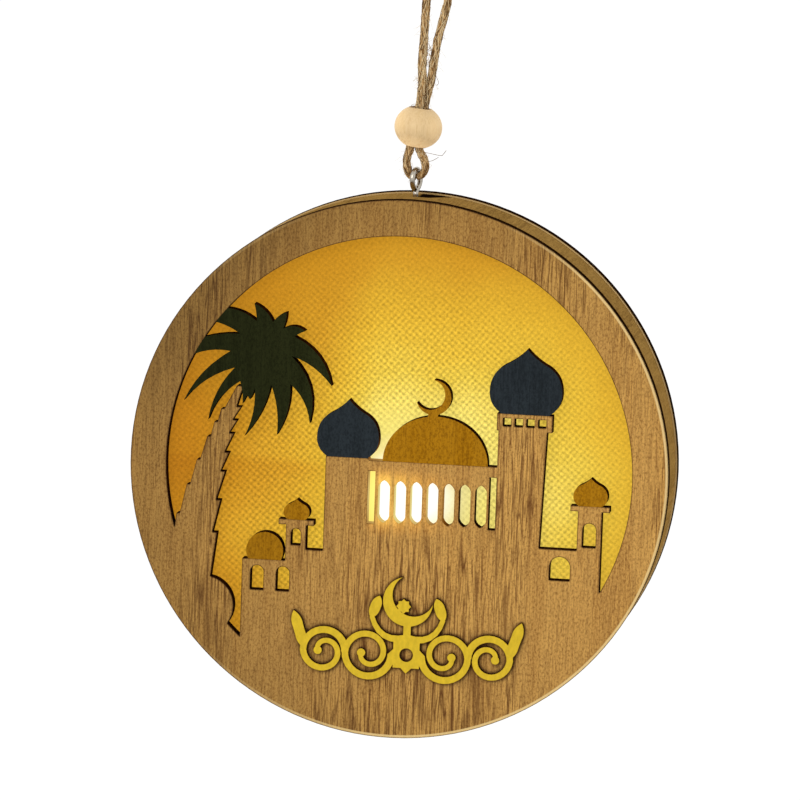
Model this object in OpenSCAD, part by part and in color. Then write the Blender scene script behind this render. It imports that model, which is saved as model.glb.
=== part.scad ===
// Round lit pendant with a palm, domes and towers cut into its front board.
// The origin is the top of the cord loop. The front faces -Y and the lamp hangs down along -Z.

/* [Body] */
// Diameter of the front and back panels
disc_d = 120; // [110:1:140]
// Thickness of the front panel
front_t = 3; // [2.5:0.5:5]
// Depth of the bent hoop between the panels
hoop_w = 16; // [15:0.5:24]
// Wall of the bent hoop
hoop_t = 2.5; // [1.5:0.5:4]
// How far the hoop stands in from the panels' edges
hoop_inset = 0.4; // [0.2:0.1:1]
// Thickness of the back panel
back_t = 3; // [3:0.5:5]
// Distance from the top of the cord loop down to the middle of the lamp
drop = 126; // [120:1:140]
// Sideways place of the lamp's middle under the top of the loop
disc_x = -3; // [-6:0.5:0]
// Depth of the screw eye behind the lamp's front face
eye_depth = 12.9; // [10:0.1:14]

/* [Window] */
// Width of the wooden ring round the sky opening
ring_w = 8; // [5:0.5:12]
// Thickness of the diffuser sheet
diffuser_t = 0.4; // [0.2:0.1:1]
// Overlap of the diffuser behind the ring
diffuser_lap = 4; // [2:0.5:5]
// Thickness of a printed ink layer
ink_t = 0.15; // [0.1:0.05:0.3]

/* [Towers] */
// Width of the tall tower's shaft
minaret_w = 10.8; // [9:0.2:12]
// Height of the tall tower's cornice above the lamp's middle
minaret_z = 14; // [12:0.5:18]
// Height of the cornice band
cornice_h = 3.8; // [3:0.2:5]
// Width of the left tower
tower_w = 9.6; // [8:0.2:11]
// Height of the left tower above the lamp's middle
tower_z = 2.4; // [1:0.2:6]
// Height of the hall's roof above the lamp's middle
roof_z = 2; // [0.5:0.25:2.25]
// Width of the central dome
hall_dome_w = 23.4; // [20:0.2:24]
// Height of the central dome
hall_dome_h = 10.5; // [8:0.5:14]
// Radius of the crescent on the central dome
crescent_r = 3.9; // [3:0.1:5]

/* [Windows] */
// Number of pointed windows in the arcade
arcade_n = 7; // [3:1:8]
// Distance between two windows of the arcade
arcade_pitch = 3.6; // [3.2:0.1:3.7]
// Width of one window of the arcade
arcade_w = 2.6; // [1.6:0.1:2.8]
// Height of one window of the arcade
arcade_h = 9.5; // [6:0.5:11]

/* [Palm] */
// Size that the palm crown's outline is drawn to
palm_size = 33; // [30:0.5:34]
// How far a bark tooth stands out of the trunk
bark_tooth = 1.05; // [0.5:0.05:1.5]

/* [Ornament] */
// Width of the strokes of the glued-on ornament
stroke_w = 1.7; // [1.2:0.1:2]
// Thickness of the glued-on ornament
ornament_t = 1; // [0.6:0.1:2]
// Radius of the ornament's inner scrolls
scroll_r = 5.2; // [4.5:0.1:5.5]

/* [Cord] */
// Diameter of the jute cord
cord_d = 1.8; // [1.4:0.1:1.8]
// Diameter of the wooden bead
bead_d = 10.6; // [9:0.2:12]
// Height of the wooden bead
bead_h = 9.6; // [8:0.2:12]
// Diameter of the hole through the bead
bead_bore = 4; // [4:0.1:5]

/* [Screw eye] */
// Diameter of the eye's wire
eye_wire = 1.2; // [0.8:0.1:1.3]
// Diameter of the hole in the eye
eye_hole = 3.2; // [3.2:0.1:4]
// Length of the threaded shank
shank_l = 9; // [6:0.5:10]
// Diameter of the threaded shank
shank_d = 1.6; // [1.2:0.1:2]
// Turn of the eye about its shank, in degrees
eye_turn = -15; // [-20:1:20]

/* [Battery] */
// Diameter of a coin cell
cell_d = 20; // [20:0.1:20.2]
// Thickness of a coin cell
cell_t = 3.2; // [2.5:0.1:3.2]
// Wall of the battery housing
housing_wall = 1.2; // [1:0.1:1.6]
// Width of the housing's flange outside its collar
flange_rim = 5.2; // [4.2:0.1:7]
// Thickness of the flange
flange_t = 1.2; // [1:0.1:1.5]
// Thickness of the battery cover
cover_t = 1.4; // [1.3:0.1:1.8]

/* [Switch] */
// Travel of the switch button
switch_travel = 3; // [2:0.25:3.5]
// Length of the switch button
button_l = 3.6; // [3:0.1:4]

/* [Hidden] */
$fn = 72;

// Overrun of every cut past the face that it opens
cut = 1;
// Room between two glued or seated pieces
seat_gap = 0.05;
// Steps of a drawn curve
arc_steps = 6;

disc_r = disc_d / 2;
sky_r = disc_r - ring_w;
back_y = front_t + hoop_w;
depth = back_y + back_t;
hoop_r = disc_r - hoop_inset;
hoop_in_r = hoop_r - hoop_t;

// Skyline, measured from the lamp's middle
city_floor = -disc_r;
left_wall_x = -34.2;
left_roof_z = -21.5;
left_turret_x = -24.6;
left_turret_w = 4.5;
left_balcony_z = -12.2;
left_notch_z = -18.8;
tower_x = -16.2;
minaret_x = 22;
minaret_lean = 0.9;
cornice_over_left = 0.4;
cornice_over_right = 1.1;
right_notch_z = -15.6;
right_turret_in = 11.7;
right_turret_x = sky_r - right_turret_in;
right_turret_w = 5.3;
right_balcony_z = -5.6;
balcony_h = 1.2;
balcony_over = 1.7;
// Overlap of two drawn shapes that grow out of each other
blend = 0.4;

// Onion domes: widths and heights, with the shares of height and width where the outline turns
tower_dome_w = 13.7;
tower_dome_h = 12.9;
minaret_dome_w = 16;
minaret_dome_h = 14.5;
left_onion_w = 5.8;
left_onion_h = 4.6;
right_onion_w = 7.6;
right_onion_h = 6.2;
onion_base_share = 0.66;
onion_wide_share = 0.4;
onion_neck_shares = [0.31, 0.74];
onion_bow_shares = [-0.16, -0.12, 0.05];

hall_dome_x = 8.2;
small_dome_x = -29.2;
small_dome_z = -19.5;
small_dome_r = 4.15;
crescent_x = 7.4;
crescent_rise = 4.2;
crescent_bite_share = 0.87;
crescent_shift_share = 0.27;
crescent_open = 145;
neck_w = 2.2;

// Windows: middle, sill and size of each
arcade_x = 7.85;
arcade_z = -7.05;
lancet_tip = 1.5;
lancet_bow_share = -0.12;
slot_w = 1.6;
slot_h = 11.7;
slot_z = -12.1;
left_window_w = 3;
left_window_h = 5.5;
left_window_z = -28.4;
left_window_gap = 2.8;
left_window_x = -30.8;
left_turret_window_w = 2.2;
left_turret_window_h = 3.7;
left_turret_window_z = -17.9;
right_turret_window_w = 3;
right_turret_window_h = 5.4;
right_turret_window_z = -14.8;
low_window_w = 4.6;
low_window_h = 5.3;
low_window_gap = 3.6;
low_window_x = right_turret_x - low_window_gap;
low_window_z = -22.5;
cornice_window_w = 1.8;
cornice_window_n = 4;
cornice_window_pitch = 2.6;

// Palm: place of the crown's middle, and the trunk, measured from that middle sideways and from
// the lamp's middle upwards
palm_x = -30.6;
crown_z = 25.3;
trunk_left_top = [-6, 17];
trunk_right_top = [-4.6, 17];
trunk_left_foot = [-19.1, -16.2];
trunk_right_foot = [-10.7, -26];
trunk_left_bow = 1.1;
trunk_right_bow = 1.8;
left_tooth = 0.7;
left_tooth_shares = [0.16, 0.25, 0.35, 0.51, 0.68, 0.88];
right_tooth_shares = [0.11, 0.18, 0.25, 0.35, 0.45, 0.6, 0.77];
mound_x = -11.9;
mound_z = -32.5;
mound_r = 6.6;

// Corners of the palm crown, clockwise from the ring, as shares of palm_size: x, z and the bow of
// the edge that follows, as a share of its length. Tips and the notches between them take turns.
crown_shares = [[-0.26, 0.27, 0.08], [-0.06, 0.19, -0.03], [-0.08, 0.31, 0.1], [0.05, 0.19, 0.1],
    [0.14, 0.26, 0.05], [0.12, 0.15, 0.17], [0.27, 0.14, -0.05], [0.2, 0.1, 0.13],
    [0.46, -0.22, -0.08], [0.18, -0.03, 0.15], [0.32, -0.48, -0.1], [0.18, -0.22, 0.08],
    [0.1, -0.57, -0.06], [0.05, -0.23, 0.07], [-0.12, -0.59, -0.07], [-0.06, -0.26, 0.04],
    [-0.09, -0.34, 0], [-0.11, -0.31, 0], [-0.14, -0.37, -0.05], [-0.16, -0.22, -0.09],
    [-0.37, -0.49, 0.08], [-0.2, -0.13, -0.08], [-0.54, -0.37, 0.08], [-0.23, -0.02, -0.09],
    [-0.53, -0.08, 0], [-0.46, 0.05, 0.05], [-0.17, 0.1, -0.07], [-0.4, 0.18, 0]];

// Ornament: place of its middle, and what stands on it
ornament_x = 3.4;
ornament_z = -41;
star_r = 4.2;
star_waist_share = 0.765;
star_points = 8;
star_hole_r = 1.5;
stalk_lap = 0.8;
outer_scroll_r = 4.7;
scroll_turns = 1.5;
scroll_end_share = 0.3;
stroke_end_share = 0.65;
scroll_bud_r = 0.95;
flame_l = 9;
flame_w = 2.4;
flame_base_share = 0.4;
outer_flame_turn = -18;
outer_flame_at = 12;
small_flame_l = 5.5;
small_flame_turn = 20;
stalk_x = 8;
stalk_z = 8.4;
stalk_bow = -0.24;
moon_r = 5.6;
moon_z = 12;
moon_bite_share = 0.84;
moon_shift_share = 0.34;
moon_open = 50;
small_star_r = 1.7;
small_star_lap = 0.35;

// Hanger block and screw eye
block_w = 16;
block_h = 9.5;
block_y = front_t + diffuser_t + seat_gap;
block_t = back_y - seat_gap - block_y;
thread_room = 0.03;
neck_rise = 0.6;
eye_z = disc_r + neck_rise + eye_wire + eye_hole / 2;
eye_r = (eye_hole + eye_wire) / 2;
shank_tip_l = 1.5;
shank_tip_share = 0.25;
eye_foot_r = 1.3;

// Battery compartment
battery_x = 0;
battery_z = -30;
cell_room = 0.4;
cells_n = 2;
cell_cap_t = 0.3;
cell_cap_inset = 1.3;
cell_round = 0.3;
face_sink = 0.2;
lid_room = 0.2;
lid_ledge = 2;
cover_gap = 0.1;
contact_h = 1.7;
contact_t = 0.3;
contact_w = 4;
contact_leg = 2;
contact_l = 11;
floor_t = 1.2;
ear_r = 3;
ear_x = 13.6;
collar_wall = 1.4;
collar_h = 3.4;
boss_r = 2.5;
boss_l = 7.5;
screw_d = 1.8;
screw_head_d = 3.4;
screw_head_h = 1;
screw_l = 5;
screw_room = 0.05;
boss_room = 0.1;
head_room = 0.1;
sunk_room = 0.06;
cross_w = 0.5;
cross_l_share = 0.7;
flange_screw_n = 3;
flange_screw_d = 1.6;
flange_screw_head_d = 3;
flange_screw_l = 1.5;
flange_screw_turn = 0;
panel_room = 0.2;
slot_room = 0.3;

cell_r = cell_d / 2;
bay_r = cell_r + cell_room;
cup_r = bay_r + housing_wall;
lid_r = bay_r + lid_ledge;
collar_r = lid_r + collar_wall;
flange_r = collar_r + flange_rim;
flange_screw_r = collar_r + flange_rim / 2;
flange_y = depth - face_sink;
cover_y = flange_y - cover_t;
cells_y = cover_y - cover_gap - cells_n * (cell_t + seat_gap);
cup_floor_y = cells_y - contact_h;
cup_y = cup_floor_y - floor_t;

// Slide switch: place of its middle in from the panels' edge, and what it holds
switch_in = 17.2;
switch_turn = -38;
switch_mid_x = (disc_r - switch_in) * cos(switch_turn);
switch_x = switch_mid_x - switch_travel / 2;
switch_z = (disc_r - switch_in) * sin(switch_turn);
switch_l = 9;
switch_w = 4.4;
switch_h = 4.4;
switch_wall = 0.6;
switch_plate_l = 16;
switch_plate_t = 0.6;
switch_screw_gap = 12.4;
switch_screw_d = 1.5;
switch_screw_l = 2.2;
switch_head_d = 2.8;
switch_head_h = 0.8;
button_w = 3;
button_sink = 0.5;
stem_l = 1.8;
stem_w = 1.6;
slider_room = 0.1;
slider_foot_h = 1.2;
rib_w = 0.4;
rib_pitch = 1;
rib_n = 3;
panel_slot_room = 0.5;
pin_d = 0.8;
pin_l = 1.8;
pin_gap = 2.5;

// Lamp board
led_x = 2;
led_z = -6;
board_w = 14;
board_h = 8;
board_t = 1;
led_d = 5;
led_l = 7.6;
led_rim_d = 5.8;
led_rim_t = 1;
resistor_l = 3.2;
resistor_w = 1.6;
resistor_t = 0.6;
resistor_x = -5;

// Wires: each leaves its end straight, dips towards the front and bows to the side on its way
wire_d = 1;
wire_sides = 8;
wire_steps = 3;
wire_gap = 0.7;
wire_lead = 1.7;
wire_shares = [0, 0.15, 0.35, 0.5, 0.65, 0.85, 1];
red_dip = [0, -2.6, -1.8];
loop_dip = [2.2, -4, 0];
black_dip = [-3.5, -4.4, 0];
pad_x = 5.5;
pad_z = -2.5;
wire_room = 0.2;
leg_room = wire_room + wire_d / 2;
plus_end = [battery_x + cell_r + seat_gap + contact_t + leg_room, cup_y - wire_gap, battery_z];
minus_end = [battery_x - contact_l / 2 + contact_t + leg_room, cup_y - wire_gap, battery_z];
pin_y = back_y - switch_h - pin_l - wire_room;
pin_ends = [for (k = [-1:1]) [switch_mid_x + k * pin_gap, pin_y, switch_z]];
pad_ends = [for (k = [-1, 1]) [led_x + k * pad_x, back_y - board_t - wire_room, led_z + pad_z]];

// Cord: the way that it takes from the eye up one side of the loop and down the other, from the
// top of the loop
cord_sides = 8;
cord_steps = 2;
cord_route = [[-3.1, 0, -62.1], [-4.4, 0, -61.6], [-5.05, 0, -60.2], [-5.2, 0, -58.6], [-5, 0, -57.2],
    [-4.7, 0, -56.2], [-4.51, 0, -55.1], [-3.73, -0.62, -50.9], [-2.76, -0.86, -46.4],
    [-2.42, -0.74, -42.9], [-2.33, -0.36, -40.3], [-2.6, -0.1, -37.2], [-2.4, 0, -32.6],
    [-2.25, 0, -27.7], [-2.1, 0, -22.5], [-2.1, 0, -15], [-1.6, 0, -7], [-1, 0, -1.5], [-0.9, 0, 1.5],
    [0, 0, 3], [0.9, 0, 1.5], [1.1, 0, -2], [2, 0, -8], [2.9, 0, -15], [2.7, 0, -22], [1.6, 0, -27.6],
    [0.5, 0, -32.5], [0, 0.1, -36.4], [-0.55, 0.36, -40.5], [-1.19, 0.74, -43.1],
    [-1.86, 0.86, -46.6], [-2.17, 0.62, -51.1], [-2.6, 0.12, -54.7], [-2.56, 0, -55.9],
    [-2.1, 0, -57], [-1.45, 0, -58], [-1.1, 0, -59.2], [-1.12, 0, -60.4], [-1.7, 0, -61.6],
    [-2.9, 0, -62.1]];
bead_x = -2.95;
bead_z = -51;
strand_run = 1;
strand_rise = 7;
knot_w = 5.6;
knot_h = 5.2;
knot_z = 3.4;
tail_l = 7;
tail_lean = 24;

// Point on the way from p to q, bowed sideways by the share b of its length
function bowed(p, q, b, t) = let (d = q - p)
    p + d * t + [-d[1], d[0]] * b * 4 * t * (1 - t);

// Closed outline through corners of the form [x, z, bow], with arcs between them
function outline(c, scale) = [for (i = [0:len(c) - 1]) let (p = c[i], q = c[(i + 1) % len(c)])
    for (k = [0:arc_steps - 1])
        scale * bowed([p[0], p[1]], [q[0], q[1]], p[2], k / arc_steps)];

// Half of an onion dome, from its foot to its tip
function onion_side(w, h) = let (b = w / 2 * onion_base_share, z = h * onion_wide_share)
    let (p = [[b, 0], [w / 2, z], [w * onion_neck_shares[0], h * onion_neck_shares[1]], [0, h]])
    concat([p[0]], [for (i = [0:2]) for (k = [1:arc_steps])
        bowed(p[i], p[i + 1], onion_bow_shares[i], k / arc_steps)]);

// Closed onion dome that reaches down below its foot by the length below
function onion(w, h, below = 0) = let (s = onion_side(w, h))
    concat([[s[0][0], -below]], s,
        [for (k = [len(s) - 2:-1:0]) [-s[k][0], s[k][1]]], [[-s[0][0], -below]]);

// Window with a round head, standing on its sill
function arch(w, h) = concat([[w / 2, 0]],
    [for (a = [0:15:180]) [w / 2 * cos(a), h - w / 2 + w / 2 * sin(a)]], [[-w / 2, 0]]);

// Window that is pointed above and below, about its middle
function lancet(w, h, tip) = let (s = concat(
    [for (k = [0:arc_steps])
        bowed([0, -h / 2], [w / 2, tip - h / 2], lancet_bow_share, k / arc_steps)],
    [for (k = [0:arc_steps])
        bowed([w / 2, h / 2 - tip], [0, h / 2], lancet_bow_share, k / arc_steps)]))
    concat(s, [for (k = [len(s) - 2:-1:1]) [-s[k][0], s[k][1]]]);

// Corners of a turret with its balcony, from its left foot to its right one
function turret(x, w, z) = [[x, z - balcony_h], [x - balcony_over, z - balcony_h],
    [x - balcony_over, z], [x + w + balcony_over, z], [x + w + balcony_over, z - balcony_h],
    [x + w, z - balcony_h]];

// Side of the trunk at the share s of its height
function trunk_side(top, foot, bow, s) =
    [top[0] + (foot[0] - top[0]) * s - 4 * bow * s * (1 - s), top[1] + (foot[1] - top[1]) * s];

// Toothed side of the trunk, whose steps stand out by tooth
function bark(top, foot, bow, shares, tooth) = concat([top],
    [for (s = shares) for (k = [0, 1]) trunk_side(top, foot, bow, s) + [k * tooth, 0]], [foot]);

// Star whose waist lies between its points
function star(r) = [for (k = [0:star_points * 2 - 1])
    let (a = k * 180 / star_points, q = (k % 2 == 0) ? r : r * star_waist_share)
        q * [cos(a), sin(a)]];

// Band of even or tapering width along points in a plane
function direction(p, i) = let (a = p[max(i - 1, 0)], b = p[min(i + 1, len(p) - 1)], d = b - a)
    d / norm(d);
function band(p, w0, w1) = let (n = len(p) - 1)
    concat([for (i = [0:n]) let (d = direction(p, i), w = (w0 + (w1 - w0) * i / n) / 2)
            p[i] + w * [-d[1], d[0]]],
        [for (i = [n:-1:0]) let (d = direction(p, i), w = (w0 + (w1 - w0) * i / n) / 2)
            p[i] - w * [-d[1], d[0]]]);

// Points of a scroll round c: half a turn at the radius r from its left side, then ever closer in
function scroll(c, r, way) = let (n = 48, hold = 0.5 / scroll_turns) [for (k = [0:n])
    let (t = k / n, in = max(0, (t - hold) / (1 - hold)), a = 180 + way * 360 * scroll_turns * t)
        c + r * (1 - (1 - scroll_end_share) * in) * [cos(a), sin(a)]];

// Smooth way through the points of a route
function on_route(p, i, t) = let (n = len(p) - 1, a = p[max(i - 1, 0)], b = p[i],
        c = p[min(i + 1, n)], d = p[min(i + 2, n)])
    0.5 * (2 * b + (c - a) * t + (2 * a - 5 * b + 4 * c - d) * t * t
        + (3 * b - a - 3 * c + d) * t * t * t);
function smooth_route(p, steps) = concat([for (i = [0:len(p) - 2]) for (k = [0:steps - 1])
    on_route(p, i, k / steps)], [p[len(p) - 1]]);

// Way of a wire from the end a to the end b
function wire_way(a, b, dip) = let (lead = [0, wire_lead, 0], p = a - lead, q = b - lead)
    concat([a, a - lead / 2], [for (s = wire_shares) p + (q - p) * s + dip * 4 * s * (1 - s)],
        [b - lead / 2, b]);

// Even tube of diameter d along points, whose rings stand square to the way
module tube(p, d, sides, side_way) {
    n = len(p);
    rings = [for (i = [0:n - 1])
        let (t = p[min(i + 1, n - 1)] - p[max(i - 1, 0)], u = cross(t, side_way),
            a = u / norm(u), v = cross(t, a), b = v / norm(v))
        for (k = [0:sides - 1]) p[i] + d / 2 * (a * cos(360 * k / sides)
            + b * sin(360 * k / sides))];
    walls = [for (i = [0:n - 2]) for (k = [0:sides - 1]) for (f = [0, 1])
        let (m = (k + 1) % sides, r = i * sides, s = r + sides)
        f == 0 ? [r + k, r + m, s + m] : [r + k, s + m, s + k]];
    first = [for (k = [1:sides - 2]) [0, k + 1, k]];
    last = [for (k = [1:sides - 2]) let (r = (n - 1) * sides) [r, r + k, r + k + 1]];
    polyhedron(points = rings, faces = [for (f = concat(walls, first, last)) [f[0], f[2], f[1]]]);
}

// Puts lamp pieces where the lamp hangs
module in_lamp() {
    translate([disc_x, -eye_depth, -drop]) children();
}

// Upright plate of a flat shape, from the depth y over the thickness t
module plate(y, t) {
    translate([0, y + t, 0]) rotate([90, 0, 0]) linear_extrude(t) children();
}

// Round bar along the depth
module bar(y, l, d1, d2 = -1) {
    translate([0, y, 0]) rotate([-90, 0, 0]) cylinder(h = l, d1 = d1, d2 = d2 < 0 ? d1 : d2);
}

module at(x, z) {
    translate([x, 0, z]) children();
}

module both_sides() {
    children();
    mirror([1, 0, 0]) children();
}

// Walls and roofs of the whole town, from the left wall to the right one
module town_2d() {
    minaret_end = minaret_x + minaret_w;
    cornice_z = minaret_z - cornice_h;
    polygon(concat([[left_wall_x, city_floor], [left_wall_x, left_roof_z],
        [left_turret_x, left_roof_z]], turret(left_turret_x, left_turret_w, left_balcony_z),
        [[left_turret_x + left_turret_w, left_notch_z], [tower_x, left_notch_z],
        [tower_x, tower_z], [tower_x + tower_w, tower_z], [tower_x + tower_w, roof_z],
        [minaret_x, roof_z], [minaret_x, cornice_z], [minaret_x - cornice_over_left, cornice_z],
        [minaret_x - cornice_over_left, minaret_z],
        [minaret_end + cornice_over_right, minaret_z],
        [minaret_end + cornice_over_right, cornice_z], [minaret_end, cornice_z],
        [minaret_end - minaret_lean, right_notch_z], [right_turret_x, right_notch_z]],
        turret(right_turret_x, right_turret_w, right_balcony_z),
        [[right_turret_x + right_turret_w, city_floor]]));
}

module hall_dome_2d(below) {
    a = hall_dome_w / 2;
    translate([hall_dome_x, roof_z]) polygon(concat([[a, -below]],
        [for (k = [0:5:180]) [a * cos(k), hall_dome_h * sin(k)]], [[-a, -below]]));
}

module crescent_2d(r, bite, shift, open) {
    difference() {
        circle(r);
        translate(shift * [cos(open), sin(open)]) circle(bite);
    }
}

module finial_2d() {
    top = roof_z + hall_dome_h;
    translate([crescent_x, top + crescent_rise]) crescent_2d(crescent_r,
        crescent_r * crescent_bite_share, crescent_r * crescent_shift_share, crescent_open);
    translate([crescent_x - neck_w / 2, top - neck_w / 2])
        square([neck_w, crescent_rise - crescent_r + neck_w]);
}

module small_dome_2d(below) {
    intersection() {
        translate([small_dome_x, small_dome_z]) circle(small_dome_r);
        translate([small_dome_x - small_dome_r * 2, left_roof_z - below])
            square([small_dome_r * 4, small_dome_r * 4]);
    }
}

module navy_domes_2d(below) {
    translate([tower_x + tower_w / 2, tower_z])
        polygon(onion(tower_dome_w, tower_dome_h, below));
    translate([minaret_x + minaret_w / 2 + cornice_over_left, minaret_z])
        polygon(onion(minaret_dome_w, minaret_dome_h, below));
}

module ochre_domes_2d(below) {
    hall_dome_2d(below);
    finial_2d();
    small_dome_2d(below);
    translate([left_turret_x + left_turret_w / 2, left_balcony_z])
        polygon(onion(left_onion_w, left_onion_h, below));
    translate([right_turret_x + right_turret_w / 2, right_balcony_z])
        polygon(onion(right_onion_w, right_onion_h, below));
}

module crown_2d() {
    translate([palm_x, crown_z]) polygon(outline(crown_shares, palm_size));
}

module trunk_2d() {
    left = bark(trunk_left_top, trunk_left_foot, trunk_left_bow, left_tooth_shares, -left_tooth);
    right = bark(trunk_right_top, trunk_right_foot, trunk_right_bow, right_tooth_shares,
        bark_tooth);
    translate([palm_x, 0]) {
        polygon(concat(right, [[mound_x, mound_z], [-sky_r - palm_x, mound_z]],
            [for (k = [len(left) - 1:-1:0]) left[k]]));
        translate([mound_x, mound_z]) circle(mound_r);
    }
}

module windows_2d() {
    for (k = [0:arcade_n - 1])
        translate([arcade_x + (k - (arcade_n - 1) / 2) * arcade_pitch, arcade_z])
            polygon(lancet(arcade_w, arcade_h, lancet_tip));
    for (x = [tower_x + tower_w, minaret_x - slot_w])
        translate([x, slot_z]) square([slot_w, slot_h]);
    for (k = [0, 1]) translate([left_window_x + k * (left_window_w + left_window_gap),
        left_window_z]) polygon(arch(left_window_w, left_window_h));
    translate([left_turret_x + left_turret_w / 2, left_turret_window_z])
        polygon(arch(left_turret_window_w, left_turret_window_h));
    translate([right_turret_x + right_turret_w / 2, right_turret_window_z])
        polygon(arch(right_turret_window_w, right_turret_window_h));
    translate([low_window_x, low_window_z]) polygon(arch(low_window_w, low_window_h));
    cornice_x = minaret_x + (minaret_w + cornice_over_right - cornice_over_left) / 2;
    for (k = [0:cornice_window_n - 1])
        translate([cornice_x + (k - (cornice_window_n - 1) / 2) * cornice_window_pitch
            - cornice_window_w / 2, minaret_z - (cornice_h + cornice_window_w) / 2])
            square(cornice_window_w);
}

module front_panel() {
    color("tan") in_lamp() plate(0, front_t) difference() {
        circle(disc_r);
        difference() {
            circle(sky_r);
            town_2d();
            navy_domes_2d(blend);
            ochre_domes_2d(blend);
            crown_2d();
            trunk_2d();
        }
        windows_2d();
    }
}

module palm_crown() {
    color("darkgreen") in_lamp() plate(-ink_t, ink_t) intersection() {
        circle(sky_r);
        crown_2d();
    }
}

module navy_domes() {
    color("midnightblue") in_lamp() plate(-ink_t, ink_t) navy_domes_2d(0);
}

module ochre_domes() {
    color("darkgoldenrod") in_lamp() plate(-ink_t, ink_t) ochre_domes_2d(0);
}

// Slender leaf that stands on the middle
module flame_2d(l, w) {
    translate([0, l * (0.5 - flame_base_share / 4)]) polygon(lancet(w, l, l * flame_base_share));
}

module scroll_2d(c, r, way) {
    way_in = scroll(c, r, way);
    polygon(band(way_in, stroke_w, stroke_w * stroke_end_share));
    translate(way_in[len(way_in) - 1]) circle(scroll_bud_r);
}

// One side of the scrollwork: two scrolls that turn against each other, a leaf and a stalk
module scroll_side_2d() {
    near = [star_r - stroke_w / 2 + scroll_r, 0];
    far = near + [scroll_r + outer_scroll_r, 0];
    scroll_2d(near, scroll_r, 1);
    scroll_2d(far, outer_scroll_r, -1);
    translate(far + outer_scroll_r * [cos(outer_flame_at), sin(outer_flame_at)])
        rotate(outer_flame_turn) flame_2d(flame_l, flame_w);
    polygon(band([for (k = [0:arc_steps])
        bowed([0, star_r - blend], [stalk_x, stalk_z], stalk_bow, k / arc_steps)],
        stroke_w, stroke_w * stroke_end_share));
    translate([stalk_x, stalk_z]) rotate(small_flame_turn) flame_2d(small_flame_l, flame_w);
}

module ornament_2d() {
    both_sides() scroll_side_2d();
    difference() {
        polygon(star(star_r));
        circle(star_hole_r);
    }
    translate([-stroke_w / 2, star_r - stalk_lap])
        square([stroke_w, moon_z - moon_r - star_r + stalk_lap * 2]);
    bite = moon_r * moon_bite_share;
    way = [cos(moon_open), sin(moon_open)];
    translate([0, moon_z]) crescent_2d(moon_r, bite, moon_r * moon_shift_share, moon_open);
    translate([0, moon_z] + way * (moon_r * moon_shift_share + small_star_r - small_star_lap - bite))
        polygon(star(small_star_r));
}

// Joins overlapping shapes into one by cutting them out of a sheet
module from_sheet(sheet) {
    difference() {
        square(sheet, center = true);
        difference() {
            square(sheet + cut, center = true);
            children();
        }
    }
}

module scroll_ornament() {
    color("gold") in_lamp() at(ornament_x, ornament_z) plate(-ornament_t, ornament_t)
        from_sheet(disc_r) ornament_2d();
}

module diffuser() {
    color("khaki") in_lamp() plate(front_t, diffuser_t) circle(sky_r + diffuser_lap);
}

module side_hoop() {
    color("peru") in_lamp() difference() {
        plate(front_t, hoop_w) difference() {
            circle(hoop_r);
            circle(hoop_in_r);
        }
        translate([0, eye_depth, hoop_in_r - cut])
            cylinder(h = hoop_t + cut * 2, r = shank_d / 2 + thread_room);
    }
}

module hanger_block() {
    color("burlywood") in_lamp() difference() {
        plate(block_y, block_t) intersection() {
            circle(hoop_in_r - seat_gap);
            translate([-block_w / 2, hoop_in_r - block_h]) square([block_w, block_h]);
        }
        translate([0, eye_depth, hoop_in_r - block_h - cut])
            cylinder(h = block_h + cut * 2, r = shank_d / 2 + thread_room);
    }
}

module screw_eye() {
    color("silver") in_lamp() translate([0, eye_depth, 0]) rotate([0, 0, eye_turn]) {
        translate([0, 0, eye_z]) rotate([0, 90, 0]) rotate_extrude() translate([eye_r, 0])
            circle(eye_wire / 2);
        translate([0, 0, hoop_r]) cylinder(h = eye_z - eye_r - hoop_r, r1 = eye_foot_r,
            r2 = eye_wire / 2);
        translate([0, 0, hoop_r - shank_l + shank_tip_l])
            cylinder(h = shank_l - shank_tip_l, d = shank_d);
        translate([0, 0, hoop_r - shank_l])
            cylinder(h = shank_tip_l, d1 = shank_d * shank_tip_share, d2 = shank_d);
    }
}

// Outline of the cover with its screw ear, wider by extra all round
module lid_2d(extra) {
    circle(lid_r - lid_room + extra);
    translate([-ear_x, 0]) circle(ear_r + extra);
}

module place_battery() {
    in_lamp() at(battery_x, battery_z) children();
}

module flange_screw_places() {
    for (k = [0:flange_screw_n - 1]) rotate([0, flange_screw_turn + 360 / flange_screw_n * k, 0])
        at(flange_screw_r, 0) children();
}

module back_panel() {
    color("burlywood") in_lamp() difference() {
        plate(back_y, back_t) circle(disc_r);
        at(battery_x, battery_z) {
            plate(back_y - cut, back_t + cut * 2) lid_2d(lid_room + collar_wall + panel_room);
            bar(flange_y - flange_t, face_sink + flange_t + cut, (flange_r + panel_room) * 2);
            flange_screw_places() bar(flange_y - flange_t - flange_screw_l, flange_screw_l + cut,
                flange_screw_d + thread_room * 2);
        }
        at(switch_x, switch_z) {
            translate([-(button_l / 2 + panel_slot_room), back_y - cut,
                -(button_w / 2 + panel_slot_room)])
                cube([button_l + switch_travel + panel_slot_room * 2, back_t + cut * 2,
                    button_w + panel_slot_room * 2]);
            for (s = [-1, 1]) at((switch_travel + s * switch_screw_gap) / 2, 0)
                bar(back_y - cut, switch_screw_l + cut, switch_screw_d + thread_room * 2);
        }
    }
}

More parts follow.
